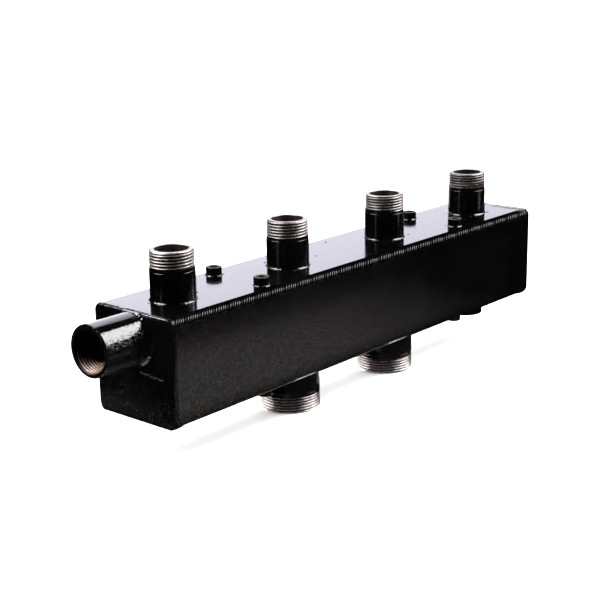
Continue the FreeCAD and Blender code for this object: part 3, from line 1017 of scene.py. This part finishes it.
@dataclass
class Socket:
    """A round socket welded to the casing, with a thread cut inside it."""

    node: str
    facing: Facing
    thread: ThreadForm
    bead: Bead
    rim_chamfer: float
    mouth_chamfer: float
    # The level that its weld is cut off at, if it is
    weld_top: float | None = None
    weld_sink: float = 0.3
    segments: int = 96

    def __post_init__(self) -> None:
        """Read the socket's radius, length and axis from the frame."""
        low, high = box_of(self.node)
        middle = (low + high) / 2
        self.radius = (high.y - low.y) / 2
        if self.facing is Facing.LEFT:
            self.length = high.x - low.x
            self.foot = Vector((high.x, middle.y, middle.z))
        else:
            self.length = high.z - low.z
            self.foot = Vector((middle.x, middle.y, high.z))

    def groove_at(self, place: Vector) -> float:
        """Return how deep in the thread a place on the socket lies."""
        return (math.hypot(place.x, place.y) - self.thread.crest_radius) / self.thread.depth + 1.0

    def finish_of(self, centre: Vector, _normal: Vector) -> int:
        """Return 1 for the cut thread and 0 for the enamel outside it."""
        inside = math.hypot(centre.x, centre.y) < self.thread.crest_radius + NEAR
        return 1 if inside and centre.z < self.length - 2 * STEP else 0

    def build(self) -> None:
        """Model the socket and its weld, and put them in place."""
        place = Matrix.Translation(self.foot) @ self.facing.turn()
        body = self.thread.tapped_ring(
            self.radius, self.length, self.rim_chamfer, self.mouth_chamfer, self.segments
        )
        mark_grooves(body, self.groove_at)
        dress(body, (SOCKET_ENAMEL, TAPPED_STEEL), self.finish_of)
        settle(body, f"threaded_{self.node}", place, self.node)
        top = None if self.weld_top is None else self.weld_top - self.foot.z
        ring = self.bead.ring(self.radius, self.weld_sink, top)
        settle(ring, f"{self.node}_ring_weld", place, f"{self.node}_weld")


@dataclass
class Bosses:
    """Small tapped bosses for bracket screws, bare on their faced tops."""

    sides: tuple[tuple[str, Facing], ...]
    count: int
    thread: ThreadForm
    bead: Bead
    edge_chamfer: float = 0.6
    # The faced top takes in this much of its rim
    faced_depth: float = 0.1
    weld_sink: float = 0.2
    segments: int = 64

    def __post_init__(self) -> None:
        """Read a boss's radius and height from the frame."""
        low, high = box_of(f"{self.sides[0][0]}_boss_1")
        self.radius = (high.x - low.x) / 2
        self.height = high.z - low.z

    def finish_of(self, centre: Vector, normal: Vector) -> int:
        """Return 0 for enamel, 1 for the faced top and 2 for the tapped hole."""
        if centre.z > self.height - self.faced_depth and normal.z > LEVEL_FACE:
            return 1
        return 2 if math.hypot(centre.x, centre.y) < self.thread.crest_radius + NEAR else 0

    def build(self) -> None:
        """Model one boss and its weld, and put a copy at every place."""
        edge = self.edge_chamfer
        body = self.thread.tapped_ring(self.radius, self.height, edge, edge, self.segments)
        dress(body, (ENAMEL, BOSS_STEEL, SCALE), self.finish_of)
        ring = self.bead.ring(self.radius, self.weld_sink)
        for side, facing in self.sides:
            for number in range(1, self.count + 1):
                node, weld = f"{side}_boss_{number}", f"{side}_boss_weld_{number}"
                low, high = box_of(node)
                foot = low.z if facing is Facing.UP else high.z
                place = upright_place(node, foot, facing, number)
                settle(own_copy(body), f"tapped_{node}", place, node)
                settle(own_copy(ring), f"ring_{weld}", place, weld)
        bpy.data.objects.remove(body)
        bpy.data.objects.remove(ring)


@dataclass
class EndCap:
    """One closed end of the casing: its plates and the weld round them, dressed to a round edge."""

    side: str
    outward: float
    top_bead: Bead
    top_out: Vector
    top_inset: float
    foot_bead: Bead
    line_bead: Bead
    line_rise: float
    line_dip: float = 2.0
    line_from_front: Corner = (11.0, 33.0)
    top_rise: float = 0.35
    foot_rise: float = 1.4
    foot_inset: float = 5.0
    fold_radius: float = 5.8
    edge_radius: float = 1.9
    fold_steps: int = 10
    edge_steps: int = 6
    # The dull corner's reach, as a share of the fold's radius
    corner_reach: float = 1.5
    # The edges' welds end this far behind the end's face
    flush: float = 0.1
    socket: str = ""
    socket_bore: float = 15.0
    bore_reach: float = 20.0
    bore_segments: int = 64

    def build(self) -> None:
        """Model the cap, the welds along its top and bottom edges and the line over the partition."""
        low, high = box_of(f"{self.side}_end_weld")
        self.face_x = low.x if self.outward < 0 else high.x
        cap = self.model(low, high)
        corner = Vector((0.0, low.y, high.z))
        dress(
            cap, (END_ENAMEL, CORNER_ENAMEL),
            lambda centre, _normal: int((centre - corner).yz.length < self.corner_reach * self.fold_radius),
        )
        nodes = (f"{self.side}_{name}" for name in ("end_weld", "lower_end_plate", "upper_end_plate"))
        settle(cap, f"{self.side}_end_cap", Matrix(), *nodes)
        top = Vector((self.face_x - self.outward * self.top_inset, low.y, high.z + self.top_rise))
        self.lay_edge("top", self.top_bead, self.top_out, top, high.y)
        foot = Vector((self.face_x - self.outward * self.foot_inset, low.y, low.z - self.foot_rise))
        self.lay_edge("foot", self.foot_bead, -Z_AXIS, foot, high.y)
        self.lay_line(low.y)

    def model(self, low: Vector, high: Vector) -> Piece:
        """Round a block's long edges and its outer rim, and bore it behind the socket."""
        deselect_all()
        bpy.ops.mesh.primitive_cube_add(size=1.0, location=(low + high) / 2, scale=high - low)
        cap = bpy.context.object
        bpy.ops.object.transform_apply()
        middle = (low.x + high.x) / 2
        with editing_edges(cap, lambda first, second: abs(first.x - second.x) > 1.0):
            bpy.ops.mesh.bevel(offset=self.fold_radius, segments=self.fold_steps, affect="EDGES")
        with editing_corners(cap, lambda corner: (corner.x - middle) * self.outward > 0.0):
            bpy.ops.mesh.bevel(offset=self.edge_radius, segments=self.edge_steps, affect="EDGES")
        tidy_mesh(cap)
        if self.socket:
            socket_low, socket_high = box_of(self.socket)
            outline = [(self.socket_bore, -self.bore_reach), (self.socket_bore, self.bore_reach)]
            bore = turned("bore", outline, self.bore_segments)
            axis = (socket_low + socket_high) / 2
            axis.x = low.x
            bore.matrix_world = Matrix.Translation(axis) @ Facing.LEFT.turn()
            combine(cap, bore, Combine.REMOVE)
        return cap

    def lay_edge(self, edge: str, bead: Bead, out: Vector, crown: Vector, end_y: float) -> None:
        """Lay an uneven weld along the top or the bottom edge, flush with the end's face.

        Args:
            edge: The edge's name.
            bead: The weld's form.
            out: The way out of the weld.
            crown: Where its crown starts, at the front.
            end_y: How far back the edge runs.
        """
        margin = max(self.fold_radius, bead.ripple_length * (1.0 + bead.unevenness) + 1.0)
        start = crown + Vector((0.0, margin, -math.copysign(bead.height, out.z)))
        end = Vector((start.x, end_y - margin, start.z))
        weld = bead.lay(edge, straight_route(start, end, out, bead.ripple))
        trim(weld, (self.face_x - self.flush * self.outward) * X_AXIS, self.outward * X_AXIS)
        dress(weld, (WELD_ENAMEL,))
        settle(weld, f"{self.side}_{edge}_edge_weld", Matrix())

    def lay_line(self, front_y: float) -> None:
        """Lay the thin line that the partition's weld leaves on the end's face."""
        node = f"{self.side}_partition_weld"
        weld_low, weld_high = box_of(node)
        near, far = (front_y + distance for distance in self.line_from_front)
        level = (weld_low.z + weld_high.z) / 2
        x = self.face_x - self.outward * (self.line_bead.height - self.line_rise)
        start, end = Vector((x, near, level - self.line_dip)), Vector((x, far, level))
        route = straight_route(start, end, self.outward * X_AXIS, self.line_bead.ripple)
        bead = self.line_bead.lay("line", route)
        # The line's lighter enamel is a painted highlight
        dress(bead, (HIGHLIGHT_ENAMEL,))
        settle(bead, f"{self.side}_partition_line_weld", Matrix(), node)


@dataclass
class Seam:
    """A bead along one long edge of the casing."""

    node: str
    to_y: float
    to_z: float
    bead: Bead
    # Ripples start this far past the seam's ends, and the bead is cut off further out
    lead: float = 1.5
    overrun: float = 2.6
    root_cover: float = 0.3
    spread: float = 0.22
    # How dull the ripple is where two groups meet
    meeting: float = 0.52

    def build(self) -> None:
        """Lay the bead, cut it flat against the two sheets and put it in place."""
        low, high = box_of(self.node)
        inner_y, inner_z = (high.y if self.to_y < 0 else low.y), (low.z if self.to_z > 0 else high.z)
        start = Vector((low.x - self.lead, inner_y, inner_z))
        end = Vector((high.x + self.lead, inner_y, inner_z))
        out = Vector((0.0, self.to_y, self.to_z))
        route = straight_route(start, end, out, self.bead.ripple, self.spread)
        bead = self.bead.lay("seam", route)
        cuts = (
            (Vector((0.0, inner_y - self.root_cover * self.to_y, 0.0)), Vector((0.0, -self.to_y, 0.0))),
            (Vector((0.0, 0.0, inner_z - self.root_cover * self.to_z)), Vector((0.0, 0.0, -self.to_z))),
            ((low.x - self.overrun) * X_AXIS, -X_AXIS),
            ((high.x + self.overrun) * X_AXIS, X_AXIS),
        )
        for point, outward in cuts:
            trim(bead, point, outward)
        crowns = [centre.x for centre, _, _ in route]
        side = route[0][2].cross(route[0][1])
        mark_grooves(bead, lambda place: self.valley_at(place.x, (place - start).dot(side), crowns))
        dress(bead, (SEAM_ENAMEL,))
        settle(bead, f"rippled_{self.node}", Matrix(), self.node)

    def valley_at(self, x: float, aside: float, crowns: Sequence[float]) -> float:
        """Return how near a place lies to a valley, from 0 on a crown to 1, where groups meet as well.

        Args:
            x: The place along the seam.
            aside: Its distance from the seam's middle.
            crowns: Where the ripples' crowns lie along the seam.

        Returns:
            The share of the way to the valley.
        """
        x += math.tan(math.radians(self.bead.slant_deg)) * aside
        after = min(max(bisect(crowns, x), 1), len(crowns) - 1)
        share = (x - crowns[after - 1]) / (crowns[after] - crowns[after - 1])
        nearest = after - 1 + round(share)
        least = self.meeting if nearest % self.bead.group == 0 else 0.0
        return max(least, 1.0 - abs(2.0 * share - 1.0))


@dataclass
class Spatter:
    """Drops that the welding threw, painted over where they stuck."""

    height: float
    # Places on the top plate and the drops' sizes
    drops: tuple[tuple[float, float, float], ...] = SPATTER_DROPS
    rings: tuple[str, ...] = CIRCUITS
    ring_reach: Corner = (1.5, 4.5)
    drops_to_ring: int = 5
    size: Corner = (0.35, 0.7)
    seed: int = 11
    flatness: float = 0.55

    def places(self) -> list[tuple[float, float, float]]:
        """Return every drop's place and size, those round the pipes scattered."""
        chance = random.Random(self.seed)
        places = list(self.drops)
        for node in self.rings:
            low, high = box_of(node)
            middle = (low + high) / 2
            for _ in range(self.drops_to_ring):
                angle = chance.uniform(0.0, math.tau)
                away = (high.x - low.x) / 2 + chance.uniform(*self.ring_reach)
                x, y = middle.x + away * math.cos(angle), middle.y + away * math.sin(angle)
                places.append((x, y, chance.uniform(*self.size)))
        return places

    def build(self) -> None:
        """Model one drop, copy it to every place and join the copies."""
        deselect_all()
        bpy.ops.mesh.primitive_ico_sphere_add(subdivisions=2, radius=1.0)
        drop = bpy.context.object
        bpy.ops.transform.resize(value=(1.0, 1.0, self.flatness))
        bpy.ops.object.transform_apply()
        copies = []
        for x, y, size in self.places():
            copy = own_copy(drop)
            copy.data.transform(Matrix.Translation((x, y, self.height)) @ Matrix.Scale(size, 4))
            copies.append(copy)
        bpy.data.objects.remove(drop)
        take(*copies)
        bpy.ops.object.join()
        dress(copies[0], (ENAMEL,))
        settle(copies[0], "weld_spatter", Matrix())


@dataclass
class Casing:
    """The folded shells, the end plates and what lies inside them, kept as solids of the frame."""

    painted: tuple[str, ...] = ("front_bottom_shell", "top_back_shell", "left_", "right_")

    def build(self, nodes: dict[str, Piece]) -> None:
        """Paint the shells and plates, and scale what is left inside."""
        for name, node in nodes.items():
            if node.hide_render:
                continue
            finish = CASING_ENAMEL if name.startswith(self.painted) else SCALE
            for slot in node.material_slots:
                slot.material = finish.build()
            LOG.info("%s: %s", name, finish.name)


@dataclass(frozen=True)
class SoftBox:
    """A soft rectangular light that faces the part."""

    name: str
    azimuth_deg: float
    elevation_deg: float
    distance: float
    width: float
    height: float
    radiance: float
    tint: Colour = (1.0, 1.0, 1.0)
    # Brightness at the right and at the left edge, seen from the part
    grade: Corner = (1.0, 1.0)

    def build(self, target: Vector) -> None:
        """Stand the light round the target, its azimuth counted from +X."""
        deselect_all()
        turn = Matrix.Rotation(math.radians(self.azimuth_deg), 3, "Z")
        raise_up = Matrix.Rotation(math.radians(-self.elevation_deg), 3, "Y")
        direction = turn @ raise_up @ X_AXIS
        bpy.ops.object.light_add(type="AREA", location=target + direction * self.distance)
        box = bpy.context.object
        box.name = self.name
        box.rotation_euler = direction.to_track_quat("Z", "Y").to_euler()
        box.data.shape = "RECTANGLE"
        box.data.size, box.data.size_y = self.width, self.height
        box.data.energy = self.radiance * math.pi * self.width * self.height
        box.data.color = self.tint
        box.visible_camera = False
        if self.grade != (1.0, 1.0):
            self.shade(box.data)

    def shade(self, light: bpy.types.AreaLight) -> None:
        """Grade the light from its right edge to its left one."""
        light.use_nodes = True
        nodes, links = light.node_tree.nodes, light.node_tree.links
        parts = nodes.new("ShaderNodeSeparateXYZ")
        links.new(nodes.new("ShaderNodeNewGeometry").outputs["Parametric"], parts.inputs["Vector"])
        span = nodes.new("ShaderNodeMapRange")
        span.inputs["To Min"].default_value, span.inputs["To Max"].default_value = self.grade
        links.new(parts.outputs["X"], span.inputs["Value"])
        links.new(span.outputs["Result"], nodes["Emission"].inputs["Strength"])


@dataclass(frozen=True)
class Sheen:
    """A glow on the floor that only gloss shows, with a ramp along one axis and a fade along the other."""

    name: str
    low: Corner
    high: Corner
    ramp_along_y: bool
    ramp: tuple[Corner, ...]
    fade: Corner
    glow: float
    tint: Colour = (1.0, 0.95, 0.96)

    # Just under the floor, which gloss looks through
    HEIGHT = -0.001

    def build(self) -> None:
        """Lay the glow as a plane of its own."""
        deselect_all()
        bpy.ops.mesh.primitive_plane_add(size=1.0)
        plane = bpy.context.object
        plane.name = self.name
        (x0, y0), (x1, y1) = self.low, self.high
        plane.scale = (x1 - x0, y1 - y0, 1.0)
        plane.location = ((x0 + x1) / 2, (y0 + y1) / 2, self.HEIGHT)
        bpy.ops.object.transform_apply()
        plane.data.materials.append(self.material())
        for kind in ("camera", "diffuse", "transmission", "volume_scatter", "shadow"):
            setattr(plane, f"visible_{kind}", False)

    def material(self) -> Material:
        """Return the glow's material."""
        sheet = NodeSheet(self.name)
        axes = ("Y", "X") if self.ramp_along_y else ("X", "Y")
        index = 1 if self.ramp_along_y else 0
        place = sheet.span(sheet.part(axes[0]), self.low[index], self.high[index], 0.0, 1.0)
        ramp = sheet.add("ShaderNodeValToRGB")
        stops = ramp.color_ramp.elements
        while len(stops) < len(self.ramp):
            stops.new(0.5)
        for stop, (position, level) in zip(stops, self.ramp):
            stop.position = position
            stop.color = (level, level, level, 1.0)
        sheet.link(place, ramp.inputs["Fac"])
        fade = sheet.span(sheet.part(axes[1]), *self.fade, self.glow, 0.0)
        sheet.set(
            Base_Color=(0.0, 0.0, 0.0, 1.0), Specular_IOR_Level=0.0, Emission_Color=(*self.tint, 1.0)
        )
        sheet.feed(sheet.join(ramp.outputs["Color"], fade), "Emission Strength")
        return sheet.material


@dataclass
class Studio:
    """Pale floor, soft boxes round the part, glows on the floor and the camera."""

    lens: float = 79.906
    sensor: float = 36.0
    eye: Vector = Vector((-0.80748, -0.67455, 0.37210))
    right: Vector = Vector((0.6522661, -0.7577975, -0.0170854))
    up: Vector = Vector((0.2149054, 0.1632680, 0.9628911))
    target: Vector = Vector((0.0, 0.0, 0.08))
    floor_size: float = 30.0
    room_strength: float = 1.7

    BOXES = (
        SoftBox("right_soft_box", 319.0, 40.0, 1.9, 1.30, 1.22, 16.0),
        SoftBox("left_soft_box", 138.0, 46.0, 1.9, 1.20, 0.95, 18.0),
        SoftBox("overhead", 66.0, 54.0, 1.9, 1.10, 1.00, 1.6),
        SoftBox("far_soft_box", 340.0, 26.0, 1.9, 0.60, 0.50, 9.0),
        SoftBox("left_strip", 165.0, 15.0, 1.9, 0.22, 0.40, 1.6),
        SoftBox("backdrop", 41.0, 24.0, 2.6, 1.90, 2.40, 2.6, (0.895, 0.877, 1.0), (0.73, 1.40)),
    )
    # Ramps run from the low to the high end, and fades from full to none
    SHEENS = (
        Sheen(
            "front_sheen", (-0.30, -0.31), (0.70, -0.03), True,
            ((0.0, 0.0), (0.12, 0.0), (0.30, 0.34), (0.62, 0.31), (0.66, 0.05), (1.0, 0.05)),
            (0.10, 0.34), 1.0,
        ),
        Sheen("socket_sheen", (-0.262, -0.040), (-0.212, 0.020), True, EVEN, NO_FADE, 3.0),
        Sheen(
            "end_sheen", (-0.50, -0.02), (-0.22, 0.40), False,
            ((0.0, 0.0), (0.74, 0.0), (0.80, 1.0), (1.0, 1.0)), (0.08, 0.05), 0.15,
        ),
        Sheen("far_streak", (0.44, -0.62), (0.66, -0.50), True, EVEN, NO_FADE, 1.2),
        Sheen("back_sheen", (0.26, 0.03), (8.0, 7.0), True, EVEN, NO_FADE, 0.9, (0.935, 0.915, 1.0)),
    )
    # Glows on the floor beside each boiler nipple, as low and high corners from its axis and strength
    GLINTS = (
        ("left_glint", (-0.044, 0.008), (-0.012, 0.044), 12.0),
        ("near_glint", (-0.058, -0.042), (-0.010, 0.004), 0.5),
        ("right_glint", (0.004, -0.052), (0.028, -0.022), 8.0),
    )

    def build(self) -> None:
        """Set up everything round the part."""
        scene = bpy.context.scene
        scene.view_settings.view_transform = "Standard"
        self.light_room(scene)
        self.lay_floor()
        for sheen in self.SHEENS:
            sheen.build()
        for node in BOILERS:
            for glint in self.glints(node):
                glint.build()
        for box in self.BOXES:
            box.build(self.target)
        self.set_camera(scene)

    def glints(self, node: str) -> Iterator[Sheen]:
        """Give the glows beside one nipple."""
        low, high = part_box(node)
        x, y = (low.x + high.x) / 2, (low.y + high.y) / 2
        for name, near, far, glow in self.GLINTS:
            corners = ((x + near[0], y + near[1]), (x + far[0], y + far[1]))
            yield Sheen(f"{node}_{name}", *corners, True, EVEN, NO_FADE, glow)

    def light_room(self, scene: bpy.types.Scene) -> None:
        """Fill the room with even light that doesn't show in gloss."""
        world = bpy.data.worlds.new("room")
        scene.world = world
        world.use_nodes = True
        background = world.node_tree.nodes["Background"]
        background.inputs["Color"].default_value = (1.0, 1.0, 1.0, 1.0)
        background.inputs["Strength"].default_value = self.room_strength
        world.cycles_visibility.glossy = False

    def lay_floor(self) -> None:
        """Lay the pale floor, which gloss doesn't show."""
        deselect_all()
        bpy.ops.mesh.primitive_plane_add(size=self.floor_size)
        floor = bpy.context.object
        floor.name = "floor"
        sheet = NodeSheet("floor_paper")
        sheet.set(Roughness=0.9)
        sheet.feed(sheet.blend(sheet.noise(3.0), (0.90, 0.90, 0.90), (0.93, 0.93, 0.93)), "Base Color")
        floor.data.materials.append(sheet.material)
        floor.visible_glossy = False

    def set_camera(self, scene: bpy.types.Scene) -> None:
        """Stand the camera where the part is seen from."""
        deselect_all()
        bpy.ops.object.camera_add()
        camera = bpy.context.object
        camera.data.lens = self.lens
        camera.data.sensor_width = self.sensor
        back = self.right.cross(self.up)
        axes = Matrix((self.right, self.up, back)).transposed().to_4x4()
        camera.matrix_world = Matrix.Translation(self.eye) @ axes
        scene.camera = camera


def build_ports(top: float, base: float) -> None:
    """Build the nipples, sockets and bosses.

    Args:
        top: The level of the casing's top, in millimetres.
        base: The level of its underside.
    """
    Nipples(
        CIRCUITS, Facing.UP, top, ThreadForm(16.5, 1.40, PIPE_PITCH),
        Bead(half_width=1.35, height=0.8, ripple=1.3, ripple_length=2.2, unevenness=0.10, voxel=0.16),
        THREAD_STEEL, bore_radius=12.5, rusty_and_shaded="circuit_nipple_4",
    ).build()
    Nipples(
        BOILERS, Facing.DOWN, base, ThreadForm(23.75, 1.40, PIPE_PITCH),
        Bead(
            half_width=1.9, height=1.1, ripple=1.5, ripple_length=2.4, unevenness=0.10, voxel=0.22, seed=2
        ),
        LIT_THREAD_STEEL, bore_radius=19.55,
    ).build()
    Socket(
        "end_socket", Facing.LEFT, ThreadForm(16.62, 1.47, PIPE_PITCH),
        Bead(
            half_width=2.8, height=1.7, ripple=1.9, ripple_length=2.6, unevenness=0.12, voxel=0.28, seed=3
        ),
        rim_chamfer=0.6, mouth_chamfer=1.2, weld_top=top,
    ).build()
    Socket(
        "drain_socket", Facing.DOWN, ThreadForm(13.2, 1.15, 1.814),
        Bead(
            half_width=2.2, height=1.3, ripple=1.7, ripple_length=2.6, unevenness=0.10, voxel=0.25, seed=4
        ),
        rim_chamfer=0.8, mouth_chamfer=1.6,
    ).build()
    Bosses(
        (("top", Facing.UP), ("bottom", Facing.DOWN)), 4, ThreadForm(4.0, 0.6, 1.25, steps=48),
        Bead(
            half_width=1.1, height=0.65, ripple=1.5, ripple_length=1.4, unevenness=0.16, voxel=0.14, seed=5
        ),
    ).build()


def build_casing_welds(top: float) -> None:
    """Build the long seams, the ends with their edge welds, and the spatter.

    Args:
        top: The level of the casing's top, in millimetres.
    """
    seam_bead = Bead(
        half_width=7.2, height=5.65, ripple=2.85, ripple_length=1.9, slant_deg=-38.0, unevenness=0.02,
        group=6, group_dip=0.8, voxel=0.25, seed=6,
    )
    Seam("front_seam_weld", -1.0, 1.0, seam_bead).build()
    Seam("back_seam_weld", 1.0, -1.0, seam_bead).build()
    line_bead = Bead(
        half_width=0.45, height=0.75, ripple=1.3, ripple_length=0.9, unevenness=0.4, wander=0.9, voxel=0.12,
        seed=8,
    )
    foot_bead = Bead(
        half_width=14.0, height=6.0, ripple=3.0, ripple_length=5.0, unevenness=0.02, voxel=0.4, seed=10
    )
    left_top_bead = Bead(
        half_width=1.9, height=1.8, ripple=2.9, ripple_length=1.8, unevenness=0.28, wander=0.35, voxel=0.22,
        seed=7,
    )
    right_top_bead = Bead(
        half_width=10.0, height=1.2, ripple=6.0, ripple_length=7.0, unevenness=0.2, voxel=0.25, seed=9
    )
    EndCap(
        "left", -1.0, left_top_bead, Z_AXIS - X_AXIS, 2.2, foot_bead, line_bead, line_rise=0.5,
        socket="end_socket",
    ).build()
    EndCap(
        "right", 1.0, right_top_bead, Z_AXIS, 6.0, foot_bead, line_bead, line_rise=-0.45, top_rise=0.2
    ).build()
    Spatter(top).build()


def main() -> None:
    """Load the frame and build the looks round it."""
    logging.basicConfig(level=logging.INFO, format="%(name)s %(message)s")
    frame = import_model()
    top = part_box("top_back_shell")[1].z / MM
    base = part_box("front_bottom_shell")[0].z / MM
    build_ports(top, base)
    build_casing_welds(top)
    Casing().build(frame["nodes"])
    Studio().build()


if __name__ == "__main__":
    main()
